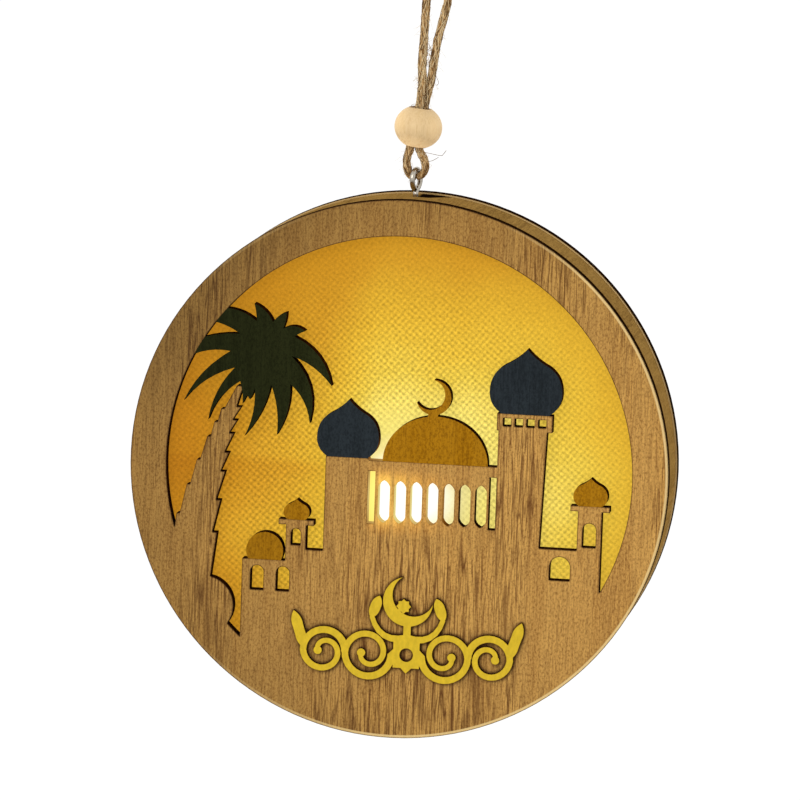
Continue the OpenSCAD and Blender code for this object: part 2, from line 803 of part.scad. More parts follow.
module battery_housing() {
    color("whitesmoke") place_battery() difference() {
        union() {
            bar(flange_y - flange_t, flange_t, flange_r * 2);
            plate(flange_y - collar_h, collar_h) lid_2d(lid_room + collar_wall);
            bar(cup_y, flange_y - cup_y, cup_r * 2);
            at(-ear_x, 0) bar(flange_y - cover_t - boss_l, boss_l, boss_r * 2);
        }
        bar(cup_floor_y, depth, bay_r * 2);
        plate(cover_y, cover_t + cut) lid_2d(lid_room);
        at(-ear_x, 0) bar(cover_y - screw_l, screw_l + cut, screw_d + boss_room * 2);
        flange_screw_places() {
            bar(flange_y - flange_t - cut, flange_t + cut * 2, flange_screw_d + thread_room * 2);
            bar(flange_y - flange_t / 2, flange_t / 2 + thread_room,
                flange_screw_d + thread_room * 2, flange_screw_head_d + sunk_room * 2);
        }
        translate([cell_r, cup_y - cut, -(contact_w / 2 + slot_room)])
            cube([contact_t + slot_room, cover_y - cup_y + cut, contact_w + slot_room * 2]);
        translate([-(contact_l / 2 + slot_room), cup_y - cut, -(contact_w / 2 + slot_room)])
            cube([contact_t + slot_room * 2, floor_t + cut * 2, contact_w + slot_room * 2]);
    }
}

module battery_cover() {
    color("white") place_battery() difference() {
        plate(cover_y, cover_t) lid_2d(0);
        at(-ear_x, 0) {
            bar(cover_y - cut, cover_t + cut * 2, screw_d + screw_room * 2);
            bar(flange_y - screw_head_h, screw_head_h + cut, screw_head_d + head_room * 2);
        }
    }
}

module cross_recess(y, d) {
    for (a = [0, 90]) rotate([0, a, 0]) translate([-d * cross_l_share / 2, y, -cross_w / 2])
        cube([d * cross_l_share, cross_w + cut, cross_w]);
}

module cover_screw() {
    color("silver") place_battery() at(-ear_x, 0) difference() {
        union() {
            bar(flange_y - screw_head_h, screw_head_h, screw_head_d);
            bar(cover_y - screw_l + cover_gap, screw_l + cover_t / 2, screw_d);
        }
        cross_recess(flange_y - cross_w, screw_head_d);
    }
}

module housing_screws() {
    color("silver") place_battery() flange_screw_places() difference() {
        union() {
            bar(flange_y - flange_t / 2, flange_t / 2, flange_screw_d, flange_screw_head_d);
            bar(flange_y - flange_t - flange_screw_l + cover_gap, flange_screw_l + flange_t / 2,
                flange_screw_d);
        }
        cross_recess(flange_y - cross_w / 2, flange_screw_head_d);
    }
}

module coin_cells() {
    color("lightgray") place_battery() for (k = [0:cells_n - 1])
        translate([0, cells_y + k * (cell_t + seat_gap), 0]) rotate([-90, 0, 0]) rotate_extrude()
            polygon([[0, 0], [cell_r - cell_cap_inset, 0], [cell_r - cell_cap_inset, cell_cap_t],
                [cell_r - cell_round, cell_cap_t], [cell_r, cell_cap_t + cell_round],
                [cell_r, cell_t - cell_round], [cell_r - cell_round, cell_t], [0, cell_t]]);
}

// Sprung strip on the floor of the bay, with a leg that goes out through the floor
module negative_contact() {
    half = contact_l / 2;
    rise = contact_h - seat_gap - contact_t / 2;
    color("gainsboro") place_battery() translate([0, 0, -contact_w / 2])
        linear_extrude(contact_w) polygon(band([[contact_t / 2 - half, cup_y - contact_leg],
            [contact_t / 2 - half, cup_floor_y + contact_t],
            [-half / 2, cup_floor_y + contact_t], [0, cup_floor_y + rise],
            [half / 2, cup_floor_y + rise], [half - contact_t, cup_floor_y + contact_t]],
            contact_t, contact_t));
}

module positive_contact() {
    color("gainsboro") place_battery()
        translate([cell_r + seat_gap, cup_y - contact_leg, -contact_w / 2])
        cube([contact_t, cover_y - cover_gap - cup_y + contact_leg, contact_w]);
}

module place_switch() {
    in_lamp() at(switch_mid_x, switch_z) children();
}

module switch_body() {
    plate_y = back_y - switch_plate_t;
    cave_h = slider_foot_h + slider_room * 2;
    color("dimgray") place_switch() difference() {
        union() {
            translate([-switch_plate_l / 2, plate_y, -switch_w / 2])
                cube([switch_plate_l, switch_plate_t, switch_w]);
            translate([-switch_l / 2, back_y - switch_h, -switch_w / 2])
                cube([switch_l, switch_h, switch_w]);
            for (k = [-1:1]) at(k * pin_gap, 0)
                bar(back_y - switch_h - pin_l, pin_l + seat_gap, pin_d);
        }
        for (s = [-1, 1]) at(s * switch_screw_gap / 2, 0)
            bar(plate_y - cut, switch_plate_t + cut * 2, switch_screw_d + thread_room * 2);
        translate([-(button_l + switch_travel) / 2 - slider_room, plate_y - cave_h,
            -(button_w / 2 + slider_room)])
            cube([button_l + switch_travel + slider_room * 2, cave_h,
                button_w + slider_room * 2]);
        translate([-(stem_l + switch_travel) / 2 - slider_room, plate_y - cut,
            -(stem_w / 2 + slider_room)])
            cube([stem_l + switch_travel + slider_room * 2, switch_plate_t + cut * 2,
                stem_w + slider_room * 2]);
    }
}

module switch_slider() {
    plate_y = back_y - switch_plate_t;
    top_y = depth - button_sink;
    color("black") in_lamp() at(switch_x, switch_z) difference() {
        union() {
            translate([-button_l / 2, plate_y - slider_room - slider_foot_h, -button_w / 2])
                cube([button_l, slider_foot_h, button_w]);
            translate([-stem_l / 2, plate_y - slider_room - slider_foot_h / 2, -stem_w / 2])
                cube([stem_l, slider_foot_h + switch_plate_t, stem_w]);
            translate([-button_l / 2, back_y + slider_room, -button_w / 2])
                cube([button_l, top_y - back_y - slider_room, button_w]);
        }
        for (k = [0:rib_n - 1])
            translate([(k - (rib_n - 1) / 2) * rib_pitch - rib_w / 2, top_y - rib_w,
                -button_w / 2 - cut])
                cube([rib_w, rib_w + cut, button_w + cut * 2]);
    }
}

module switch_screws() {
    plate_y = back_y - switch_plate_t;
    color("silver") place_switch() for (s = [-1, 1]) at(s * switch_screw_gap / 2, 0) {
        bar(plate_y - switch_head_h, switch_head_h, switch_head_d);
        bar(plate_y - switch_head_h / 2,
            switch_head_h / 2 + switch_plate_t + switch_screw_l - cover_gap, switch_screw_d);
    }
}

module place_board() {
    in_lamp() at(led_x, led_z) children();
}

module led_board() {
    color("seagreen") place_board() translate([-board_w / 2, back_y - board_t, -board_h / 2])
        cube([board_w, board_t, board_h]);
}

module led() {
    board_y = back_y - board_t;
    color("lightyellow") place_board() {
        bar(board_y - led_rim_t, led_rim_t, led_rim_d);
        bar(board_y - led_l + led_d / 2, led_l - led_d / 2, led_d);
        translate([0, board_y - led_l + led_d / 2, 0]) sphere(d = led_d);
    }
}

module resistor() {
    color("black") place_board()
        translate([resistor_x - resistor_w / 2, back_y - board_t - resistor_t, -resistor_l / 2])
        cube([resistor_w, resistor_t, resistor_l]);
}

module wire(a, b, dip) {
    in_lamp() tube(smooth_route(wire_way(a, b, dip), wire_steps), wire_d, wire_sides,
        [0.1, 0.2, 1]);
}

module wire_red() {
    color("red") {
        wire(plus_end, pin_ends[0], red_dip);
        wire(pin_ends[1], pad_ends[1], loop_dip);
    }
}

module wire_black() {
    color("black") wire(minus_end, pad_ends[0], black_dip);
}

module bead() {
    color("wheat") translate([bead_x, 0, bead_z])
        rotate([0, atan2(strand_run, strand_rise), 0]) difference() {
            rotate_extrude() polygon([for (a = [-90:10:90])
                [bead_d / 2 * cos(a), bead_h / 2 * sin(a)]]);
            cylinder(h = bead_h + cut * 2, d = bead_bore, center = true);
        }
}

module hanging_cord() {
    color("sandybrown") tube(smooth_route(cord_route, cord_steps), cord_d, cord_sides, [0, 1, 0]);
}

// Knot with its two tails
module cord_knot() {
    color("sandybrown") translate([0, 0, knot_z]) {
        rotate_extrude() polygon([for (a = [-90:10:90])
            [knot_w / 2 * cos(a), knot_h / 2 * sin(a)]]);
        for (s = [-1, 1]) rotate([0, s * tail_lean, 0]) cylinder(h = tail_l, d = cord_d);
    }
}

front_panel();
palm_crown();
navy_domes();
ochre_domes();
scroll_ornament();
diffuser();
side_hoop();
back_panel();
hanger_block();
screw_eye();
battery_housing();
battery_cover();
cover_screw();
housing_screws();
coin_cells();
negative_contact();
positive_contact();
switch_body();
switch_slider();
switch_screws();
led_board();
led();
resistor();
wire_red();
wire_black();
bead();
hanging_cord();
cord_knot();
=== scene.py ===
"""The round lit pendant's looks: materials, rope, bead, eye, light and camera for its solids."""
import math
import random

import bpy
from mathutils import Matrix, Vector


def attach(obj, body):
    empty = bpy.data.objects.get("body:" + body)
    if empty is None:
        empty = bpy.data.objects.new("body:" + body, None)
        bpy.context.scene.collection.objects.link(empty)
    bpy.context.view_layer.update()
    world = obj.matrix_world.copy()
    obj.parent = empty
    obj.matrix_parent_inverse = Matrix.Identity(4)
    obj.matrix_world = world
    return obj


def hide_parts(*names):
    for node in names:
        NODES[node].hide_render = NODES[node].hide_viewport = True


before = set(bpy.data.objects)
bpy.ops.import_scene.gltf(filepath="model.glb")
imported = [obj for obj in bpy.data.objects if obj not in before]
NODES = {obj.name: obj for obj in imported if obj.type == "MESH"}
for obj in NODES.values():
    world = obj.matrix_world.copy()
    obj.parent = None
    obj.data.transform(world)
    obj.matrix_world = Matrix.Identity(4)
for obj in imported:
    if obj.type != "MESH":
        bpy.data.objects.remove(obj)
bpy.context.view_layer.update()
MM = 0.001

# Middle of the lamp's front face in the row frame. The lamp's own x, y and z start there.
EYE_DEPTH = 12.9
LAMP_MM = (-3, -EYE_DEPTH, -126)
LAMP = Vector(LAMP_MM) * MM
FRAME_PX = 800


def lamp_mm(x, y, z):
    """A place in the lamp's own millimetres, as millimetres of the row frame."""
    return tuple(start + step for start, step in zip(LAMP_MM, (x, y, z)))


def place_camera(azimuth, elevation, roll, distance, px_per_mm, seen_x, seen_y):
    """Puts the camera so that the middle of the lamp's front face is seen at one pixel.

    The angles are in degrees, and roll turns it about its line of sight. The distance is in metres.
    """
    a, e, r = (math.radians(angle) for angle in (azimuth, elevation, roll))
    back = Vector((math.sin(a) * math.cos(e), -math.cos(a) * math.cos(e), math.sin(e)))
    right = (-back).cross(Vector((0, 0, 1))).normalized()
    up = right.cross(-back)
    turned_right = right * math.cos(r) + up * math.sin(r)
    turned_up = -right * math.sin(r) + up * math.cos(r)
    data = bpy.data.cameras.new("camera")
    data.sensor_width = data.sensor_height = 36
    data.lens = px_per_mm * distance / MM / FRAME_PX * data.sensor_width
    data.shift_x = (FRAME_PX / 2 - seen_x) / FRAME_PX
    data.shift_y = (seen_y - FRAME_PX / 2) / FRAME_PX
    data.clip_start = 0.05
    data.clip_end = 100
    cam = bpy.data.objects.new("camera", data)
    facing = Matrix((turned_right, turned_up, back)).transposed().to_4x4()
    cam.matrix_world = Matrix.Translation(LAMP + back * distance) @ facing
    bpy.context.scene.collection.objects.link(cam)
    bpy.context.scene.camera = cam


place_camera(azimuth=8.0, elevation=8.5, roll=2.0, distance=1.5, px_per_mm=4.53,
             seen_x=398.0, seen_y=470.7)


def rgb(r, g, b):
    """Linear colour of an 8-bit screen colour."""
    def linear(v):
        v = v / 255
        return v / 12.92 if v <= 0.04045 else ((v + 0.055) / 1.055) ** 2.4
    return (linear(r), linear(g), linear(b), 1.0)


def scaled(colour, red, green=None, blue=None):
    """A colour times one gain, or times a gain for each channel."""
    gains = (red, red if green is None else green, red if blue is None else blue)
    return tuple(v * gain for v, gain in zip(colour, gains)) + (1.0,)


def wire(tree, socket, value):
    """Links a socket to another one, or gives it a plain value."""
    if isinstance(value, bpy.types.NodeSocket):
        tree.links.new(value, socket)
    else:
        socket.default_value = value


def add_node(tree, kind, *inputs, operation=None, **named):
    """Adds a shader node, with sockets or plain values for its first inputs and its named ones."""
    node = tree.nodes.new("ShaderNode" + kind)
    if operation:
        node.operation = operation
    for socket, value in zip(node.inputs, inputs):
        wire(tree, socket, value)
    for name, value in named.items():
        wire(tree, node.inputs[name], value)
    return node


class Look:
    """A material whose nodes are put together by short calls. Its lengths are in millimetres."""

    def __init__(self, name, rough=0.6, specular=0.3, metallic=0.0):
        self.mat = bpy.data.materials.new(name)
        self.mat.use_nodes = True
        self.tree = self.mat.node_tree
        self.tree.nodes.clear()
        self.skin = self.node("BsdfPrincipled", Roughness=rough, Metallic=metallic)
        self.set("Specular IOR Level", specular)
        self.node("OutputMaterial", self.skin.outputs[0])
        self.place = self.node("TexCoord").outputs["Object"]

    def node(self, kind, *inputs, **named):
        return add_node(self.tree, kind, *inputs, **named)

    def set(self, name, value):
        """Gives the surface one of its values, such as its roughness."""
        wire(self.tree, self.skin.inputs[name], value)

    # Places

    def mm(self, scale=(1, 1, 1), turn=(0, 0, 0), centre=(0, 0, 0)):
        """Place on the piece from a centre in the row frame, stretched, then turned by degrees."""
        moved = self.node("VectorMath", self.place, Vector(centre) * MM, operation="SUBTRACT")
        node = self.node("Mapping", moved.outputs[0])
        node.vector_type = "POINT"
        node.inputs["Rotation"].default_value = [math.radians(t) for t in turn]
        node.inputs["Scale"].default_value = [s / MM for s in scale]
        return node.outputs[0]

    def axes(self, **how):
        """x, y and z of the place that mm gives."""
        return self.node("SeparateXYZ", self.mm(**how)).outputs

    def far(self, **how):
        """Length of the place that mm gives. An axis whose scale is 0 doesn't count."""
        return self.node("VectorMath", self.mm(**how), operation="LENGTH").outputs["Value"]

    # Numbers

    def maths(self, operation, a, b=0.0):
        return self.node("Math", a, b, operation=operation).outputs[0]

    def product(self, first, *others):
        for value in others:
            first = self.maths("MULTIPLY", first, value)
        return first

    def total(self, first, *others):
        for value in others:
            first = self.maths("ADD", first, value)
        return first

    def off(self, value, middle):
        """How far a value is from a middle, either way."""
        return self.maths("ABSOLUTE", self.maths("SUBTRACT", value, middle))

    def span(self, value, low, high, to_low=0.0, to_high=1.0, smooth=False):
        """Goes from to_low, where the value is low, to to_high, where it is high."""
        node = self.node("MapRange", value, low, high, to_low, to_high)
        node.interpolation_type = "SMOOTHSTEP" if smooth else "LINEAR"
        return node.outputs[0]

    def band(self, value, rise, fall, peak=1.0):
        """Goes up from 0 over the stretch rise, stays at the peak, and goes down over fall."""
        return self.product(self.span(value, *rise), self.span(value, *fall, peak, 0.0))

    def noise(self, where, detail=3.0, rough=0.5, distortion=0.0, scale=1.0):
        return self.node("TexNoise", where, Scale=scale, Detail=detail, Roughness=rough,
                         Distortion=distortion).outputs["Fac"]

    def openness(self, reach):
        """How open the surface is, from 0 in a corner to 1 in the open. The looks use it to paint
        shade into corners.
        """
        node = self.node("AmbientOcclusion", Distance=reach * MM)
        node.samples = 8
        return node.outputs["AO"]

    def edge(self, width, dark=0.90, clear=0.998):
        """Share that is highest on the piece's own edges and 0 past a width from them.

        The cosine between the rounded normal and the true one is dark or less where the share is 1,
        and clear or more where it is 0.
        """
        bevel = self.node("Bevel", width * MM)
        bevel.samples = 8
        true = self.node("NewGeometry").outputs["True Normal"]
        cosine = self.node("VectorMath", bevel.outputs[0], true, operation="DOT_PRODUCT")
        return self.span(cosine.outputs["Value"], dark, clear, 1.0, 0.0)

    # Colours

    def mix(self, share, a, b, numbers=False):
        """a where share is 0 and b where it is 1, both colours or both numbers."""
        node = self.node("Mix")
        node.data_type = "FLOAT" if numbers else "RGBA"
        first, result = (2, 0) if numbers else (6, 2)
        for index, value in ((0, share), (first, a), (first + 1, b)):
            wire(self.tree, node.inputs[index], value)
        return node.outputs[result]

    def times(self, colour, gain):
        return self.node("VectorMath", colour, operation="SCALE", Scale=gain).outputs[0]

    def ramp(self, share, stops):
        node = self.node("ValToRGB", share)
        ends = node.color_ramp.elements
        while len(ends) < len(stops):
            ends.new(0.5)
        for end, (at, colour) in zip(ends, stops):
            end.position = at
            end.color = colour
        return node.outputs[0]

    def bump(self, height, depth, strength):
        node = self.node("Bump", Strength=strength, Distance=depth * MM, Height=height)
        self.set("Normal", node.outputs[0])


def grained(look, light, middle, dark, along="z", lines=1.0, rough=1.0, thick=None, seed=0.0):
    """Wood colour and a height for its bump: bands, fibres, specks and long wavy dark lines, with
    painted highlights in pale lines beside the dark lines.

    along is the grain's axis, lines the strength of the dark lines, rough that of the specks, and
    thick a share that says where the lines crowd together. seed moves the whole pattern.
    """
    def run(across, length):
        """Place for a noise of one frequency across the grain and another along it."""
        scale = [length if axis == along else across for axis in "xyz"]
        return look.mm(scale=scale, centre=lamp_mm(seed, 0, seed * 3))

    bands = look.noise(run(0.11, 0.008), 3.0, 0.55, 0.4)
    fibres = look.noise(run(1.8, 0.13), 4.0, 0.62, 0.3)
    specks = look.noise(run(2.3, 1.4), 3.0, 0.75)
    base = look.ramp(look.span(bands, 0.34, 0.66), [(0.0, middle), (0.55, light), (1.0, middle)])
    base = look.mix(look.span(fibres, 0.34, 0.52, 0.24, 0.0), base, dark)
    base = look.mix(look.span(specks, 0.48, 0.62, 0.0, 0.6 * rough), base, light)
    base = look.mix(look.span(specks, 0.38, 0.52, 0.62 * rough, 0.0), base, dark)

    crowd = look.span(look.noise(run(0.06, 0.01), 2.0), 0.48, 0.6, 0.15, 0.9)
    if thick is not None:
        crowd = look.maths("MAXIMUM", crowd, thick)
    dark_lines, painted_highlight_edges = 0.0, 0.0
    # Frequency across and along, width, depth, and the share of the lines that is everywhere
    for across, length, width, depth, everywhere in ((0.42, 0.018, 0.045, 1.0, 0.0),
                                                     (0.8, 0.035, 0.05, 0.95, 0.1),
                                                     (1.35, 0.06, 0.06, 0.8, 0.45)):
        away = look.off(look.noise(run(across, length), 2.0, 0.5, 0.4), 0.5)
        gaps = look.product(look.span(look.noise(run(across * 1.5, 0.09), 2.0), 0.40, 0.54),
                            look.maths("MAXIMUM", crowd, everywhere))
        line = look.product(gaps, look.span(away, 0.0, width, depth * lines, 0.0))
        dark_lines = look.maths("MAXIMUM", dark_lines, line)
        beside = look.band(away, (width * 0.8, width * 1.2), (width * 1.3, width * 2.4))
        painted_highlight_edges = look.maths("MAXIMUM", painted_highlight_edges, look.product(gaps, beside))
    # Painted highlights: pale lines along both sides of the dark lines
    base = look.mix(look.product(painted_highlight_edges, 0.5 * lines), base, scaled(light, 1.3))
    base = look.mix(dark_lines, base, scaled(dark, 0.62, 0.5, 0.5))
    return base, look.maths("SUBTRACT", look.product(fibres, 0.8), dark_lines)


def board(name, painted_lamplight=True):
    """Printed wood of the front and back boards, with painted shade that darkens it to the upper
    left and, on the front, painted lamplight on the arcade's columns.
    """
    look = Look(name, rough=0.62, specular=0.1)
    x, y, z = look.axes(centre=LAMP_MM)
    radius = look.far(scale=(1, 0, 1), centre=LAMP_MM)
    pale, painted_corner_shade, char = rgb(238, 206, 142), rgb(58, 27, 10), rgb(52, 24, 8)

    # The dark lines crowd under the arcade
    under = look.product(look.span(look.off(x, 7), 9, 27, 0.95, 0.0),
                         look.span(z, -20, -6, 1.0, 0.0))
    base, height = grained(look, rgb(218, 168, 90), rgb(200, 149, 76), rgb(120, 74, 30),
                           thick=under)

    # Painted shade: brightest a little under the middle, much darker at the left and most at its
    # top
    tall = look.maths("ADD", z, 8)
    painted_shade = look.total(0.91, look.product(tall, tall, -0.00006),
                       look.span(x, -55, 0, -0.32, 0.0), look.span(x, 0, 52, 0.0, 0.05),
                       look.span(z, 0, 60, 0.0, -0.02),
                       look.product(look.span(x, -50, -10, -0.13, 0.0), look.span(z, 0, 25)))
    base = look.times(base, painted_shade)

    # Painted highlight: a pale line along the front edge, but for the top and the left
    painted_edge_highlight = look.product(look.span(radius, 59.25, 59.4), look.span(z, 44, 56, 0.9, 0.0),
                              look.span(x, -45, -5))
    base = look.mix(painted_edge_highlight, base, pale)

    # Painted shade in the corners, and a burnt line along the cuts that is weaker at the arcade's
    # columns
    base = look.mix(look.span(look.openness(1.0), 0.52, 0.9, 0.92, 0.0), base, painted_corner_shade)
    arcade = look.product(look.band(x, (-6, -4.8), (21, 22)),
                          look.span(look.off(z, -6.3), 5.5, 6.3, 1.0, 0.0))
    cut_line = look.product(look.edge(0.6, 0.90, 0.975), look.span(arcade, 0, 1, 0.85, 0.3))
    base = look.mix(cut_line, base, char)

    # Pale ledge of the back board, which stands out past the hoop
    ledge = look.product(look.band(radius, (59.5, 59.6), (59.86, 59.94)),
                         look.band(y, (18, 18.4), (20.2, 20.8), 0.7))
    look.set("Base Color", look.mix(ledge, base, pale))
    look.bump(height, 0.09, 0.7)
    if not painted_lamplight:
        return look.mat

    # Painted lamplight, as emission, on the arcade's columns, weakest halfway between two windows
    # and over them
    first_window, window_pitch = -2.87, 3.53
    painted_light_share = look.product(look.band(x, (-7.2, -4.6), (-2, 14.5)),
                        look.span(look.off(z, -6.5), 3.5, 9.5, 1.0, 0.0, smooth=True))
    turn = look.product(look.maths("SUBTRACT", x, first_window), 2 * math.pi / window_pitch)
    beside = look.span(look.maths("COSINE", turn), -1.0, -0.4, 0.62, 1.7)
    over_windows = look.span(z, -1.5, 0.5)
    look.set("Emission Color", look.mix(painted_light_share, rgb(255, 150, 30), rgb(255, 206, 84)))
    look.set("Emission Strength", look.product(look.maths("POWER", painted_light_share, 1.4), 0.34,
                                               look.mix(over_windows, beside, 0.62, numbers=True)))
    return look.mat


def burnt(name, tone=1.0, painted_lamplight=False):
    """Charred wall that the laser leaves, with painted lamplight as emission near the lamp."""
    look = Look(name, rough=0.95, specular=0.0)
    n = look.noise(look.mm(scale=(1.2, 0.25, 1.2), centre=LAMP_MM), 4.0, 0.6, scale=1.5)
    deep, pale = (rgb(*(v * tone for v in c)) for c in ((20, 9, 2), (50, 25, 7)))
    look.set("Base Color", look.ramp(look.span(n, 0.35, 0.65), [(0.0, deep), (1.0, pale)]))
    look.bump(n, 0.05, 0.5)
    if painted_lamplight:
        # Painted lamplight on the walls near the lamp
        near = look.far(centre=lamp_mm(0, 2, -6))
        look.set("Emission Color",
                 look.mix(look.span(near, 5, 12), rgb(255, 236, 150), rgb(230, 140, 30)))
        look.set("Emission Strength", look.span(near, 5, 15, 0.75, 0.0, smooth=True))
    return look.mat


def ink(name, deep, pale, veil, grain):
    """Printed ink through which the wood shows a little, with painted shade that darkens it to the
    left.
    """
    look = Look(name, rough=0.75, specular=0.04)
    base, height = grained(look, pale, deep, veil, lines=0.6)
    speck = look.noise(look.mm(scale=(3, 3, 3), centre=LAMP_MM), 3.0, 0.7, scale=1.3)
    base = look.mix(look.span(speck, 0.45, 0.75, 0.0, 0.25), base, pale)
    x = look.axes(centre=LAMP_MM)[0]
    # Painted shade to the left
    painted_shade = look.span(x, -35, -15, 0.8, 1.0)
    look.set("Base Color", look.times(look.mix(grain, deep, base), painted_shade))
    look.bump(height, 0.03, 0.4)
    return look.mat


def edged(name, face, rim, width):
    """Painted cut-out whose rim is toasted by the laser."""
    look = Look(name, rough=0.55, specular=0.15)
    n = look.noise(look.mm(scale=(1, 1, 0.5), centre=LAMP_MM), 4.0, 0.6, scale=1.2)
    base = look.mix(look.span(n, 0.3, 0.7), face, scaled(face, 0.80))
    look.set("Base Color", look.mix(look.product(look.edge(width), 0.8), base, rim))
    look.bump(n, 0.04, 0.4)
    return look.mat


# Painted lamplight on the diffuser: its colours by the distance from the lamp's bright spot, as a
# share of GLOW_REACH
GLOW_REACH = 80.0
GLOW_STOPS = [
    (0.085, rgb(255, 254, 248)), (0.108, rgb(254, 248, 212)), (0.135, rgb(248, 234, 155)),
    (0.18, rgb(252, 234, 126)), (0.27, rgb(246, 222, 106)), (0.36, rgb(234, 200, 74)),
    (0.44, rgb(230, 188, 60)), (0.52, rgb(225, 178, 52)), (0.58, rgb(219, 170, 48)),
    (0.69, rgb(209, 153, 40)), (0.78, rgb(200, 141, 33)), (0.88, rgb(193, 130, 29)),
    (1.0, rgb(184, 120, 26))]


def diffuser_look():
    """Woven gold sheet with painted lamplight as emission: white in front of the lamp and darker to
    the left and the top.
    """
    look = Look("diffuser_cloth", rough=0.85, specular=0.05)
    x, _, z = look.axes(centre=LAMP_MM)
    near = look.far(scale=(1, 0, 1), centre=lamp_mm(0.6, 0, -6))

    # The distance counts as longer where the painted lamplight is darker than its distance alone
    # would say
    left = look.product(look.span(x, -18, -6, 21, 0), look.span(z, 10, 45, 1.0, 0.25),
                        look.span(z, -18, 0, 0.3, 1.0))
    slot = look.product(look.span(x, -5.0, -4.4, 8, 0), look.span(z, -1, 1.5, 1.0, 0.0))
    right = look.span(x, 6, 40, 0, -11)
    top = look.span(z, 10, 30, 0, 2.5)
    cloud = look.noise(look.mm(centre=LAMP_MM), 3.0, 0.5, scale=0.05)
    cloud = look.product(look.span(cloud, 0.3, 0.7, -3, 3), look.span(near, 12, 25))
    distance = look.total(near, left, slot, right, top, cloud)
    colour = look.ramp(look.maths("DIVIDE", distance, GLOW_REACH), GLOW_STOPS)

    # Weave: knots where two slightly turned sets of threads cross, and uneven yarn
    pitch, skew = 1.55, 0.1

    def threads(across, along, lean):
        leaned = look.total(across, look.product(along, lean))
        return look.maths("SINE", look.product(leaned, 2 * math.pi / pitch))

    knots = look.product(threads(x, z, skew), threads(z, x, -skew),
                         look.span(near, 40, 54, 0.62, 0.3))
    uneven = look.noise(look.mm(centre=LAMP_MM), 3.0, 0.75, scale=1.7)
    texture = look.total(knots, look.span(uneven, 0.32, 0.68, -0.7, 0.7))
    seen = look.product(look.span(near, 10, 22), look.span(near, 30, 56, 1.0, 0.5))
    gain = look.total(1.0, look.product(look.span(texture, -0.9, 0.9, -0.40, 0.33), seen))
    woven = look.times(colour, gain)
    # The woven colour, with its painted lamplight, is given mostly as emission and weakly as the
    # sheet's own colour
    look.set("Base Color", look.times(woven, 0.28))
    look.set("Emission Color", woven)
    look.set("Emission Strength", look.span(near, 7, 16, 1.0, 0.80, smooth=True))
    look.bump(texture, 0.08, 0.6)
    return look.mat


# Middle of the bead and the way its bore leans, in the row frame
BEAD_MM = (-2.95, 0, -51)
BEAD_AXIS = (1, 0, 7)


def bead_look():
    """Fine pale turned wood with a brown line round each end of the bore."""
    look = Look("bead_wood", rough=0.5, specular=0.25)
    lean = math.degrees(math.atan2(BEAD_AXIS[0], BEAD_AXIS[2]))
    own = {"centre": BEAD_MM, "turn": (0, -lean, 0)}
    along = look.noise(look.mm(scale=(0.9, 0.9, 0.09), **own), 4.0, 0.6, 0.3)
    fine = look.noise(look.mm(scale=(4, 4, 0.7), **own), 3.0, 0.6)
    base = look.ramp(look.span(along, 0.3, 0.7), [
        (0.0, rgb(234, 198, 142)), (0.5, rgb(250, 218, 166)), (1.0, rgb(242, 208, 152))])
    base = look.mix(look.span(fine, 0.36, 0.6, 0.22, 0.0), base, rgb(206, 164, 110))
    hole = look.far(scale=(1, 1, 0), **own)
    base = look.mix(look.span(hole, 2.05, 2.45, 0.8, 0.0), base, rgb(120, 78, 40))
    look.set("Base Color", look.times(base, 0.88))

    # Painted light, as emission, that the white room throws back on the bead's underside and its
    # sides
    x, _, z = look.axes(**own)
    low = look.span(z, -1.4, -4.2, 0.0, 0.46)
    sides = look.span(look.off(x, 0), 1.8, 4.6, 0.0, 0.24)
    look.set("Emission Color", base)
    look.set("Emission Strength", look.total(0.03, look.maths("MAXIMUM", low, sides)))
    look.bump(along, 0.03, 0.3)
    return look.mat


def jute_look(name, share=0.0, towards=None):
    """Dry plant fibre: pale strands with painted shade in the gaps between them, drawn by a share
    towards a screen colour.
    """
    look = Look(name, rough=0.95, specular=0.05)
    n = look.noise(look.mm(scale=(2.4, 2.4, 0.4)), 4.0, 0.7, 0.4)
    broad = look.noise(look.mm(), 2.0, scale=0.35)
    base = look.ramp(look.span(n, 0.32, 0.68), [
        (0.0, rgb(80, 52, 28)), (0.38, rgb(174, 132, 80)), (0.64, rgb(222, 184, 128)),
        (1.0, rgb(255, 238, 194))])
    base = look.mix(look.span(broad, 0.35, 0.65, 0.0, 0.3), base, rgb(160, 132, 94))
    # Painted shade in the gaps and crevices between the strands
    base = look.mix(look.span(look.openness(0.3), 0.25, 0.75, 0.6, 0.0), base, rgb(60, 36, 16))
    if towards:
        base = look.mix(share, base, rgb(*towards))
    look.set("Base Color", base)
    look.bump(n, 0.14, 0.8)
    return look.mat


def metal(name, tone, rough, brushed=0.0, along=(1, 1, 1)):
    """Plated metal. brushed is the strength of its fine marks, and along stretches them."""
    look = Look(name, rough=rough, specular=0.5, metallic=1.0)
    n = look.noise(look.mm(scale=along), 4.0, 0.6, scale=1.6)
    look.set("Base Color", look.mix(look.span(n, 0.3, 0.7), tone, scaled(tone, 0.72)))
    look.set("Roughness", look.span(n, 0.3, 0.7, rough * 0.7, rough * 1.5))
    if brushed:
        look.bump(n, 0.02, brushed)
    return look.mat


def plastic(name, tone, rough=0.45, grain=0.03, coat=0.0, seen_through=0.0):
    """Moulded plastic, its grain in millimetres of depth."""
    look = Look(name, rough=rough, specular=0.45)
    n = look.noise(look.mm(), 4.0, 0.7, scale=3.5)
    broad = look.noise(look.mm(), 2.0, scale=0.12)
    look.set("Base Color", look.mix(look.span(broad, 0.35, 0.65), tone, scaled(tone, 0.86)))
    look.set("Roughness", look.span(n, 0.3, 0.7, rough * 0.8, rough * 1.25))
    look.set("Coat Weight", coat)
    look.set("Transmission Weight", seen_through)
    look.bump(n, grain, 0.4)
    return look.mat


